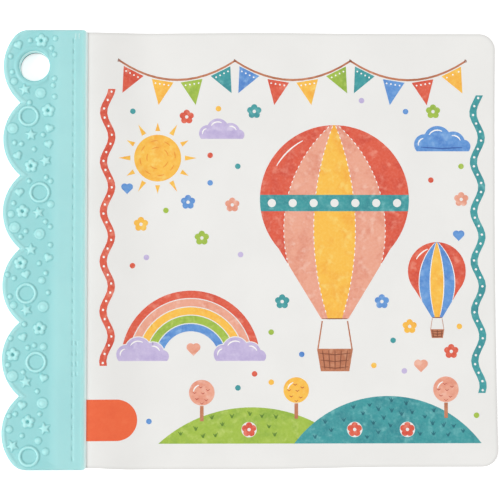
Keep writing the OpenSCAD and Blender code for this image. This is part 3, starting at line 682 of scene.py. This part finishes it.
def fine_print():
    """Everything that is drawn over the fields of colour."""
    white = printed_colour("ink_white", (250, 248, 244), (255, 254, 250), (240, 238, 232), 0.4)
    coral = printed_colour("ink_deep_coral", (186, 56, 40), (206, 80, 60), (166, 44, 32), 0.5)
    teal = printed_colour("ink_deep_teal", (24, 108, 120), (50, 130, 140), (18, 92, 104), 0.5)
    green = printed_colour("ink_deep_green", (98, 136, 40), (120, 158, 60), (80, 118, 34), 0.5)
    brown = printed_colour("ink_deep_brown", (134, 72, 46), (156, 92, 64), (112, 58, 36), 0.5)
    blue = printed_colour("ink_deep_blue", (52, 98, 172), (80, 126, 196), (40, 82, 152), 0.5)
    amber = printed_colour("ink_amber", (240, 150, 40), (248, 176, 80), (226, 130, 30), 0.5)
    rows = dash_row()

    edges = [gore_edge(share, side, BALLOON) for share in (0.28, 0.68) for side in (-1, 1)]
    band_low, band_high = BALLOON_BAND
    seams = [part for e in edges for part in (e[e[:, 1] < band_low], e[e[:, 1] > band_high])]
    dashes(rows, "balloon_stitching", seams, 2.0, 1.0, 0.34, white)
    dashes(rows, "ribbon_dots", [ribbon_path(-1, -41, 57), ribbon_path(1, -51, 55)],
           3.3, 0.85, 0.85, white)
    hems = []
    for swag in range(SWAGS):
        for k in range(PENNANTS_EACH):
            x, y, turn = pennant(swag, k)
            c, s = math.cos(turn), math.sin(turn)
            hems.append([(x + along * c + 1.3 * s, y + along * s - 1.3 * c)
                         for along in (-2.4, 2.4)])
    dashes(rows, "pennant_dots", hems, 1.6, 0.62, 0.62, white)
    small = [gore_edge(share, side, SMALL_BALLOON) for share in (0.24, 0.62) for side in (-1, 1)]
    brushed_lines("small_balloon_seams", small, 0.3, white)

    curls = []
    for cx, cy, size in CLOUDS:
        curls += [arc_path(cx - 0.3 * size, cy + 0.35 * size, 0.7 * size, 60, 150),
                  arc_path(cx + 0.85 * size, cy + 0.1 * size, 0.56 * size, 20, 100),
                  arc_path(cx - 1.25 * size, cy, 0.45 * size, 100, 190)]
    curls += [arc_path(cx, cy, 3.1, 110, 170) for cx, cy in CROWNS]
    curls += [arc_path(*BALLOON[:2], 24.2, 118, 150), arc_path(*SMALL_BALLOON[:2], 8.6, 112, 150)]
    brushed_lines("pale_curls", curls, 0.5, white)

    rays = [arc_path(*SUN, 6.4, a, a + 22) for a in range(0, 360, 45)]
    rays += [arc_path(*SUN, 3.9, a + 12, a + 52) for a in range(0, 360, 72)]
    brushed_lines("sun_strokes", rays, 0.4, amber)

    basket = []
    for (cx, cy, r), staves in ((BALLOON, 5), (SMALL_BALLOON, 3)):
        for share in (0.2, 0.5, 0.8):
            y = cy - r * (2 + 0.3 * share)
            half = r * (0.24 - 0.05 * share) * 0.9
            basket.append([(cx - half, y), (cx, y - 0.02 * r), (cx + half, y)])
        for share in np.linspace(-0.7, 0.7, staves):
            basket.append([(cx + share * r * 0.24, cy - 2.02 * r),
                           (cx + share * r * 0.19, cy - 2.28 * r)])
        basket.append([(cx - 0.17 * r, cy - 1.6 * r), (cx + 0.17 * r, cy - 1.6 * r)])
    brushed_lines("basket_weave", basket, 0.36, brown)
    knots = [arc_path((i - SWAGS / 2) * SWAG_W, SWAG_Y, 0.5, 0, 330) for i in range(SWAGS + 1)]
    brushed_lines("bunting_knots", knots, 0.5, brown)

    ridge = [(x, float(mound_top(x, RIGHT_MOUND)), 3.0) for x in np.arange(-8, 60, 2.0)]
    left = tufts(LEFT_MOUND, [(-16, -65, 4.5), (1, -60, 5.0), (-33, -61, 3.0)] + ridge, 3)
    left = [path for path in left
            if path[0][0] < -8 or path[0][1] > mound_top(path[0][0], RIGHT_MOUND) + 1.2]
    brushed_lines("left_grass", left, 0.42, green)
    on_right = [(22, -65, 4.5), (41, -65, 4.5), (1, -60, 4.0), (55, -60, 3.0)]
    brushed_lines("right_grass", tufts(RIGHT_MOUND, on_right, 8), 0.42, teal)

    dabs = ((-1.8, -1.6), (0.4, 0.4), (2.2, 1.6), (1.6, -2.0), (-0.4, 2.6), (-2.6, 0.6), (0, -3.2))
    crowns = [arc_path(cx + dx, cy + dy, 0.7, 200, 340) for cx, cy in CROWNS for dx, dy in dabs]
    brushed_lines("crown_dabs", crowns, 0.32, coral)
    cx, cy, size = CLOUDS[1]
    shade = [(cx - 1.5 * size, cy - 0.2 * size), (cx, cy - 0.3 * size),
             (cx + 1.5 * size, cy - 0.22 * size)]
    brushed_lines("cloud_shade", [shade], 0.5, blue)


# Relief of the spine: kind, place from the scallop's centre, turn

SCATTER = [
    [("heart", -12, 7.5, 25), ("dot", -7.8, 9.2), ("daisy", -3.7, 9.2), ("dot", 1.2, 10),
     ("dot", -0.2, 6.4), ("dot", 0.9, 4.1), ("dot", -14.8, 3.4), ("dot", -14.2, -2.3),
     ("small", -13.5, -5.7), ("dot", 1, -4.7), ("dot", 0.5, -7.2), ("star", -9.6, -8.7, 10),
     ("large", -4, -10), ("dot", 1.1, -11.3)],
    [("dot", -7.9, 13.2), ("ring", -8.2, 8.2), ("daisy", -1.2, 10.3), ("large", -13.9, 3.7),
     ("heart", -0.8, 3.7, -20), ("dot", -3, 1.4), ("star", -7.3, 1.4, 0), ("dot", -13.2, -1.5),
     ("dot", -10.7, -1.9), ("heart", -1, -2.1, 15), ("dot", -6.2, -3.9), ("heart", -12, -6.2, 30),
     ("star", -2, -8, 20), ("daisy", -7.2, -9.9)],
    [("dot", -1.8, 12.5), ("dot", -0.2, 11.2), ("dot", -7.9, 11.2), ("ring", -4.1, 7),
     ("heart", -11.4, 7.1, 0), ("dot", -13.4, 3.1), ("small", -0.2, 2.8), ("daisy", -10.2, 0.2),
     ("small", -14.3, -0.8), ("star", -4.5, -0.2, 12), ("dot", -2, -3.6), ("dot", -0.3, -5.4),
     ("large", -13, -5.7), ("dot", -9, -7), ("large", -4.1, -8), ("dot", -10.8, -9),
     ("dot", -0.2, -12)],
    [("star", -7.1, 13, 0), ("heart", -1, 10, -25), ("daisy", -10.8, 8.1), ("dot", -4.2, 8),
     ("dot", -15.4, 3.9), ("heart", -8.9, 3.9, 15), ("dot", -1.8, 4.5), ("dot", -13.1, 2.6),
     ("small", -3.2, 1.9), ("ring", -8.7, -2.9), ("dot", -0.9, -2.6), ("dot", -14.5, -4),
     ("small", -13.2, -7.1), ("large", -2.7, -7.7), ("star", -8.7, -8.9, 24)],
    [("dot", -9.3, 12.6), ("daisy", -3.9, 11.1), ("dot", -14.2, 7.6), ("heart", -9.9, 7.9, 20),
     ("dot", -8.1, 4.2), ("dot", -5.8, 5), ("small", -2.5, 4.5), ("daisy", -13.3, 1.7),
     ("ring", -5.1, -1), ("dot", -15.1, -2), ("dot", -9.7, -4.6), ("large", -13.5, -6),
     ("heart", -2.4, -6.8, -15), ("star", -8.7, -8.1, 8), ("dot", -4.6, -11.5)],
    [("large", -2.8, 10.9), ("heart", -10, 10.1, -10), ("dot", -12.4, 7), ("dot", -14.6, 6.3),
     ("dot", -3.7, 7), ("daisy", -7.9, 4.2), ("small", -14.5, 1.5), ("star", -1.9, 1.8, 15),
     ("dot", -10, -0.8), ("small", -4.2, -2.6), ("star", -13.3, -4.4, 30), ("ring", -7.5, -8.2),
     ("small", -1.6, -6.5)],
]


def dome(depth, height, width):
    """Puffed edge: rises steeply at the outline and levels off at the given width inside it."""
    t = np.clip(depth / width, 0, 1)
    return height * np.sqrt(1 - (1 - t) ** 2)


def polygon_depth(x, y, corners):
    """Distance inside a polygon, negative outside."""
    inside = np.zeros(x.shape, bool)
    nearest = np.full(x.shape, 1e9)
    for (ax, ay), (bx, by) in zip(corners, corners[1:] + corners[:1]):
        dx, dy = bx - ax, by - ay
        t = np.clip(((x - ax) * dx + (y - ay) * dy) / (dx * dx + dy * dy), 0, 1)
        nearest = np.minimum(nearest, np.hypot(x - ax - t * dx, y - ay - t * dy))
        crosses = ((ay > y) != (by > y)) & (x < (bx - ax) * (y - ay) / ((by - ay) or 1e-12) + ax)
        inside ^= crosses
    return np.where(inside, nearest, -nearest)


def motif_height(kind, turn, x, y):
    """Height of one motif above the field at places measured from its middle."""
    a = math.radians(-turn)
    x, y = x * math.cos(a) - y * math.sin(a), x * math.sin(a) + y * math.cos(a)
    r = np.hypot(x, y)
    if kind == "dot":
        return dome(DOT_R - r, RELIEF_H * 0.95, 0.6)
    if kind in BUTTON_RS:
        size = BUTTON_RS[kind]
        rim = dome(size - r, RELIEF_H * 0.6, 0.4)
        dish = -0.16 * np.clip(1 - np.abs(r - size * 0.6) / (size * 0.16), 0, 1)
        knob = dome(size * 0.42 - r, RELIEF_H * 0.14, 0.4)
        return np.where(rim > 0, rim + dish + knob, 0)
    if kind == "ring":
        return dome(RING_BAND / 2 - np.abs(r - RING_R), RELIEF_H, 0.45)
    if kind == "daisy":
        petal = DAISY_R * 0.42
        depth = DAISY_R / 2 - r
        for i in range(5):
            t = math.radians(18 + 72 * i)
            out = DAISY_R - petal
            away = np.hypot(x - out * math.cos(t), y - out * math.sin(t))
            depth = np.maximum(depth, petal - away)
        eye = np.clip((0.68 - r) / 0.3, 0, 1)
        return dome(depth, RELIEF_H, 0.6) * (1 - eye) - 0.9 * eye
    if kind == "star":
        corners = [(STAR_RS[i % 2] * math.sin(math.radians(36 * i)),
                    STAR_RS[i % 2] * math.cos(math.radians(36 * i))) for i in range(10)]
        return dome(polygon_depth(x, y, corners) + 0.05, RELIEF_H, 0.55)
    side = HEART_W / (1 + math.sqrt(0.5))
    y = y + side * 0.15
    u, v = (x + y) / math.sqrt(2), (y - x) / math.sqrt(2)
    depth = side / 2 - np.maximum(np.abs(u), np.abs(v))
    lobe = side * math.sqrt(2) / 4
    for s in (-1, 1):
        depth = np.maximum(depth, side * 0.5 - np.hypot(x - s * lobe, y - lobe))
    return dome(depth, RELIEF_H, 0.7)


def lobe_y(i):
    return (SPINE_LEN - LOBE_PITCH) / 2 - i * LOBE_PITCH


def relief_height(x, y):
    height = np.zeros(x.shape)
    for i, row in enumerate(SCATTER):
        cy = lobe_y(i)
        for kind, mx, my, *turn in row:
            dx, dy = x - MOTIF_X - mx, y - cy - my * LOBE_PITCH / DRAWN_PITCH
            near = np.hypot(dx, dy) < MOTIF_REACH
            if not near.any():
                continue
            h = motif_height(kind, turn[0] if turn else 0, dx[near], dy[near])
            old = height[near]
            height[near] = np.where(np.abs(h) > np.abs(old), h, old)
    return height


def border_depth(x, y):
    """Distance inside the plain border that follows the scallops."""
    depth = np.full(x.shape, -9.0)
    for i in range(LOBES):
        depth = np.maximum(depth, LOBE_R - FIELD_BORDER - np.hypot(x - LOBE_X, y - lobe_y(i)))
    return depth


def field_depth(x, y):
    """Distance inside the sunken field's outline."""
    return np.minimum(border_depth(x, y), STRIP_X - x)


def needle_y(y):
    """Place of the nearest needle hole along the seam."""
    k = np.clip(np.round((y - SEAM_START) / STITCH_PITCH), 0, STITCH_COUNT)
    return SEAM_START + k * STITCH_PITCH


def without_seam(piece):
    """Closes the groove, dimples and needle holes, whose softer form is pressed in later."""
    groove_reach, hole_reach, dimple_reach = 0.6, 0.4, 1.2
    bm = bmesh.new()
    bm.from_mesh(piece.data)
    for v in bm.verts:
        x, y, z = v.co / MM
        if abs(x - STITCH_X) > groove_reach:
            continue
        hole = float(needle_y(y))
        if math.hypot(x - STITCH_X, y - hole) < hole_reach:
            v.co.x, v.co.y = (STITCH_X + 0.15) * MM, (hole + 0.15) * MM
        if z > SPINE_T - dimple_reach:
            v.co.z = SPINE_T * MM
        elif z < dimple_reach:
            v.co.z = 0
    bmesh.ops.remove_doubles(bm, verts=bm.verts, dist=SAME_PLACE)
    bmesh.ops.delete(bm, geom=[e for e in bm.edges if not e.link_faces], context="EDGES")
    bm.to_mesh(piece.data)
    bm.free()


def finer_seam(piece):
    """Splits the faces along the seam, so that its fine grooves hold their shape."""
    bm = bmesh.new()
    bm.from_mesh(piece.data)

    def on_seam(v):
        x, z = v.co.x / MM - STITCH_X, v.co.z / MM
        return -1.0 < x < 2.2 and (z > SPINE_T - 0.1 or z < 0.1)

    edges = [e for e in bm.edges if all(on_seam(v) for v in e.verts)]
    bmesh.ops.subdivide_edges(bm, edges=edges, cuts=1, use_grid_fill=True)
    bm.to_mesh(piece.data)
    bm.free()


def seam_press(x, y):
    """How deep the tight thread presses the silicone: a faint groove, and a narrow nick at each
    needle hole."""
    at_hole = ((y - needle_y(y)) / 0.8) ** 4

    def pressed(away, groove, groove_w, nick):
        return (groove * np.exp(-(away / groove_w) ** 2)
                + nick * np.exp(-(away / 0.24) ** 2 - at_hole))

    tail, head = SEWN_OVER
    along = ease(SPINE_LEN / 2 - 2.6 - np.abs(y), 0, 1.2)
    over = ease(y, tail - 1, tail) * ease(-y, -head - 1, -head)
    first = pressed(x - STITCH_X, 0.1, 0.5, 0.34)
    second = pressed(x - STITCH_X - OVER_X, 0.06, 0.6, 0.36)
    return along * (first + over * second)


def thinned_flap(x, z):
    """Level of the two flaps, which thin out to a lip that lies close on the sheets."""
    edge = ease(x, LIP_FROM_X, FLAP_X)
    keep = 1 - LIP_THINNED * edge
    upper = FLAP_UNDER_Z + (z - FLAP_UNDER_Z) * keep - LIP_PRESSED * edge
    under = SPINE_T - FLAP_UNDER_Z
    lower = under - (under - z) * keep + LIP_PRESSED * edge
    return np.where(z > FLAP_UNDER_Z, upper, np.where(z < under, lower, z))


def without_relief(piece):
    """Takes the solid's own relief down to the field, where the puffed one is raised later."""
    points = points_of(piece.data)
    x, y, z = points.T
    raised = z > SPINE_T + 0.02
    lowered = (z > FIELD_Z + 0.02) & (z < SPINE_T - 0.01) & (field_depth(x, y) > 0.25)
    points[raised | lowered, 2] = FIELD_Z
    set_points(piece.data, points)


def eased_field(x, y, z, upper):
    """Level of the skin before the relief: the field rises softly to the strip and at its ends."""
    rise, from_x = SPINE_T - FIELD_Z, STRIP_X - 4.2
    step = upper & (z > FIELD_Z - 0.15) & (border_depth(x, y) > 0.6)
    step &= (x > from_x) & (x < STRIP_X + 0.7)
    level = np.where(step, FIELD_Z + rise * ease(x, from_x, STRIP_X + 0.6), z)
    ends = ease(np.abs(y), SPINE_LEN / 2 - 3.4, SPINE_LEN / 2 - 1.1) * upper * (z > FIELD_Z - 0.1)
    return np.maximum(level, (FIELD_Z + rise * ends) * (ends > 0))


def keep_tones(mesh, x, y, z, height, upward):
    """Keeps for the colours where the skin is raised (for a painted highlight, or beside a motif's
    foot for painted shade), sunk (for painted shade) and thin (for painted light through it, and a
    painted shadow at the foot of the hole's wall).
    """
    # Beside each motif's foot the field gets painted shade, kept as a negative raised value
    foot = np.zeros(len(x))
    for turn in np.arange(0, 2 * np.pi, np.pi / 4):
        beside = relief_height(x[upward] + FOOT_REACH * np.cos(turn),
                               y[upward] + FOOT_REACH * np.sin(turn))
        foot[upward] = np.maximum(foot[upward], np.clip(beside / 0.3, 0, 1))
    foot[height != 0] = 0
    keep_value(mesh, "raised", np.clip(height / (RELIEF_H * 0.9), 0, 1) - foot)
    # The sunken field gets painted shade
    keep_value(mesh, "sunk", ease(border_depth(x, y), -0.2, 1.8) * ease(STRIP_X - x, -0.5, 4.5)
               * (z > FIELD_Z - 0.4))
    # Painted light up the ring hole's wall and on the flaps' lip, and a painted shadow at the
    # wall's foot
    from_hole = np.hypot(x - RING_HOLE[0], y - RING_HOLE[1]) - RING_HOLE_R
    wall = 1 - ease(from_hole, 0.1, 0.8)
    lit_wall = 0.8 * wall * ease(z, 2.4, 3.0) * (1 - ease(z, 6.0, 6.7))
    painted_wall_foot_shadow = wall * (1 - ease(z, 1.8, 2.4))
    lip = np.clip((x - LIT_FROM_X) / LIT_RUN, 0, 1) ** 1.6
    keep_value(mesh, "thin", lit_wall - painted_wall_foot_shadow + lip)


def moulded_spine(material):
    """The silicone spine: its solid closed along the seam and meshed evenly, then with the relief
    puffed, the seam pressed in and the flaps thinned."""
    piece = merged_copy("teether_spine", "moulded_spine")
    without_seam(piece)
    without_relief(piece)
    remesh = piece.modifiers.new("even", "REMESH")
    remesh.mode = "VOXEL"
    remesh.voxel_size = VOXEL * MM
    made_plain(piece)
    finer_seam(piece)

    points = points_of(piece.data)
    x, y, z = points.T
    normals = np.empty(len(points) * 3, np.float32)
    piece.data.vertices.foreach_get("normal", normals)
    facing = normals.reshape(-1, 3)[:, 2]
    upper = facing > 0.3
    level = eased_field(x, y, z, upper)
    upward = upper & (z > FIELD_Z - 0.15) & (x < STRIP_X + 0.1)
    height = np.zeros(len(points))
    height[upward] = relief_height(x[upward], y[upward])
    level = np.where(height > 0, np.maximum(level, FIELD_Z + height), level + height)
    press = np.where(np.abs(facing) > 0.5, seam_press(x, y), 0)
    level -= np.where(z > SPINE_T - 0.1, press, 0) - np.where(z < 0.1, press, 0)
    x = x - LIP_DRAWN_BACK * ease(x, LIP_DRAWN_FROM_X, FLAP_X)
    z = thinned_flap(x, level)
    set_points(piece.data, np.stack([x, y, z], -1))
    keep_tones(piece.data, x, y, z, height, upward)

    soften = piece.modifiers.new("soften", "SMOOTH")
    soften.factor = 0.5
    soften.iterations = 2
    thin = piece.modifiers.new("thin", "DECIMATE")
    thin.ratio = 0.5
    made_plain(piece)
    piece.data.materials.clear()
    piece.data.materials.append(material)
    return smooth_shaded(piece)


# Thread

def stitch_line():
    """A row of stitches: each a short arch of thread that dips into the needle holes."""
    tree, given, made = group(
        "Stitch line", "GeometryNodeTree",
        [("Geometry", "Geometry", None), ("Stitches", "Int", 4), ("Pitch", "Float", 0.004),
         ("Length", "Float", 0.003), ("Radius", "Float", 0.0003), ("Dip", "Float", 0.0006),
         ("Start", "Vector", (0, 0, 0)), ("Thread", "Material", None)],
        [("Geometry", "Geometry")])
    along = add_node(tree, "ShaderNodeCombineXYZ", {"Y": given.outputs["Pitch"]})
    line = add_node(tree, "GeometryNodeMeshLine", {
        "Count": given.outputs["Stitches"], "Start Location": given.outputs["Start"],
        "Offset": along.outputs[0]})
    half = maths(tree, "MULTIPLY", given.outputs["Length"], 0.5)
    dip = maths(tree, "MULTIPLY", given.outputs["Dip"], -1)
    arch = add_node(tree, "GeometryNodeCurvePrimitiveBezierSegment", {"Resolution": 12})
    for sign, end, handle in ((-1, "Start", "Start Handle"), (1, "End", "End Handle")):
        tip = add_node(tree, "ShaderNodeCombineXYZ", {
            "Y": maths(tree, "MULTIPLY", half, sign), "Z": dip})
        shoulder = add_node(tree, "ShaderNodeCombineXYZ", {
            "Y": maths(tree, "MULTIPLY", half, sign * 0.82)})
        feed(tree, arch, {end: tip.outputs[0], handle: shoulder.outputs[0]})
    ring = add_node(tree, "GeometryNodeCurvePrimitiveCircle", {
        "Resolution": 10, "Radius": given.outputs["Radius"]})
    tube = add_node(tree, "GeometryNodeCurveToMesh", {
        "Fill Caps": True, "Curve": arch.outputs[0], "Profile Curve": ring.outputs["Curve"]})
    copies_on(tree, made, line.outputs[0], tube.outputs[0], {}, given.outputs["Thread"])
    return tree


def row_of_stitches(tree, values):
    piece = linked("stitches", bpy.data.meshes.new("stitches"))
    work_group(piece, tree, values)
    made_plain(piece)
    bm = bmesh.new()
    bm.from_mesh(piece.data)
    bpy.data.objects.remove(piece)
    return bm


def seam(material):
    """The whole seam on both faces, sewn over twice near its tail and fastened off at its head."""
    tree = stitch_line()
    first = SEAM_START + STITCH_PITCH / 2
    lie = SPINE_T - YARN_SUNK
    pulled = STITCH_PITCH - 0.3
    rows = [
        (STITCH_COUNT, STITCH_X, first, lie, pulled, 0.4),
        (3, STITCH_X + OVER_X, first + 8 * STITCH_PITCH, lie, pulled, 0.35),
        (1, STITCH_X + 0.7, LOOSE_END_Y, lie + 0.2, 3.6, 0.4),
        (1, STITCH_X + 1.9, LOOSE_END_Y, lie + 0.2, 3.4, 0.4),
    ]
    upper, under = bmesh.new(), bmesh.new()
    for count, x, y, z, length, dip in rows:
        values = {"Stitches": count, "Start": (x * MM, y * MM, z * MM), "Pitch": STITCH_PITCH * MM,
                  "Length": length * MM, "Radius": YARN_R * MM, "Dip": dip * MM, "Thread": material}
        for side in (upper, under):
            add_into(side, row_of_stitches(tree, values))
    for v in under.verts:
        v.co.z = SPINE_T * MM - v.co.z
    bmesh.ops.reverse_faces(under, faces=under.faces)
    add_into(upper, under)
    mesh = bpy.data.meshes.new("seam_thread")
    upper.to_mesh(mesh)
    upper.free()
    mesh.materials.append(material)
    keep_value(mesh, "loose", points_of(mesh)[:, 1] > -SEAM_START + 0.1)
    return smooth_shaded(linked("seam_thread", mesh))


def add_into(whole, part):
    mesh = bpy.data.meshes.new("part")
    part.to_mesh(mesh)
    part.free()
    whole.from_mesh(mesh)
    bpy.data.meshes.remove(mesh)


# The book

silicone_matt = silicone()
yarn = thread_yarn()
cover_white = sheet_white("cover_satin", (235, 234, 231))
leaf_white = sheet_white("leaf_satin", (235, 234, 230))

spine = moulded_spine(silicone_matt)
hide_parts("teether_spine")
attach(spine, "spine")

thread = seam(yarn)
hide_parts("sewing_thread")
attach(thread, "spine")

back = make_sheet("back_sheet", BACK_SHEET_Z, COVER_T, 0.0, cover_white)
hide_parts("back_cover")
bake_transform(back)

for i in range(LEAVES):
    bottom = BACK_SHEET_Z + COVER_T + LEAF_GAP + i * (LEAF_T + LEAF_GAP)
    share = (i + 1) / (LEAVES + 1) * 0.9
    leaf = make_sheet(f"leaf_{i + 1}", bottom, LEAF_T, share, leaf_white, phase=1.0 + 1.7 * i)
    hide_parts("page_block")
    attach(leaf, "spine")

front = make_sheet("front_sheet", COVER_TOP_Z - COVER_T, COVER_T, 1.0, cover_white, press=0.12)
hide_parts("front_cover")
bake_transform(front)

PRINTS = {
    "orange": ((240, 100, 52), (244, 118, 70), (232, 88, 44), 0.35),
    "coral": ((222, 84, 56), (240, 150, 128), (205, 62, 42), 0.75),
    "salmon": ((236, 164, 138), (246, 200, 180), (222, 132, 106), 0.75),
    "yellow": ((250, 190, 66), (252, 220, 120), (244, 164, 44), 0.7),
    "green": ((160, 190, 62), (196, 214, 112), (126, 166, 52), 0.75),
    "teal": ((52, 152, 156), (120, 192, 192), (34, 128, 138), 0.75),
    "blue": ((92, 148, 214), (150, 190, 232), (66, 120, 196), 0.75),
    "lavender": ((198, 184, 222), (222, 212, 236), (176, 160, 208), 0.7),
    "brown": ((192, 118, 82), (216, 156, 122), (164, 92, 60), 0.75),
}
for label, (base, pale, deep, strength) in PRINTS.items():
    node = "print_tab" if label == "orange" else "print_" + label
    ink = printed_colour("ink_" + label, base, pale, deep, strength)
    film = printed_film(node, "printed_" + label, ink)
    if label == "orange":
        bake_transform(film)
    else:
        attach(film, "front")
fine_print()


# Table, light and camera

def table_top():
    """White table with a light of its own, so that it fades into the white room around it."""
    material, tree, shader = plain_nodes("table_white", 0.9)
    tree.nodes.remove(shader)
    diffuse = add_node(tree, "ShaderNodeBsdfDiffuse", {"Color": (0.8, 0.8, 0.8, 1)})
    path = tree.nodes.new("ShaderNodeLightPath")
    mirrored = maths(tree, "ADD", path.outputs["Is Glossy Ray"],
                     path.outputs["Is Transmission Ray"])
    seen = maths(tree, "ADD", path.outputs["Is Camera Ray"], mirrored, clamp=True)
    glow = add_node(tree, "ShaderNodeEmission", {
        "Color": (1, 1, 1, 1), "Strength": maths(tree, "MULTIPLY", seen, 0.62)})
    both = add_node(tree, "ShaderNodeAddShader", {0: diffuse.outputs[0], 1: glow.outputs[0]})
    join(tree, both.outputs[0], tree.nodes["Material Output"].inputs["Surface"])
    corners = [(x * TABLE_HALF, y * TABLE_HALF, -0.05)
               for x, y in ((-1, -1), (1, -1), (1, 1), (-1, 1))]
    return add_piece("table_top", corners, [(0, 1, 2, 3)], material)


table_top()


def lamp(name, side, height_deg, softness_deg, strength):
    """Even light from far off: the side it comes from, its height, softness and strength."""
    light = bpy.data.lights.new(name, "SUN")
    light.energy = strength
    light.angle = math.radians(softness_deg)
    height = math.radians(height_deg)
    across = Vector((*side, 0)).normalized() * math.cos(height)
    towards = Vector((across.x, across.y, math.sin(height)))
    piece = linked(name, light)
    piece.location = towards
    piece.rotation_euler = towards.to_track_quat("Z", "Y").to_euler()


lamp("window", (-0.9, -0.2), 48, 18, 1.66)
lamp("bounce", (0.7, 0.5), 64, 70, 0.45)

world = bpy.data.worlds.new("room")
world.use_nodes = True
background = world.node_tree.nodes["Background"]
background.inputs["Color"].default_value = (1, 1, 1, 1)
world_path = world.node_tree.nodes.new("ShaderNodeLightPath")
seen = maths(world.node_tree, "MULTIPLY_ADD", world_path.outputs["Is Camera Ray"], 0.52, 0.48)
join(world.node_tree, seen, background.inputs["Strength"])
bpy.context.scene.world = world

camera = bpy.data.cameras.new("camera")
camera.lens = 119.7
camera.clip_end = 10
shot = linked("camera", camera)
shot.location = (-10.6 * MM, -30.63 * MM, 603.1 * MM)
shot.rotation_euler = [math.radians(turn) for turn in (2.891, -1.0, -0.062)]
bpy.context.scene.camera = shot
bpy.context.scene.view_settings.view_transform = "Standard"
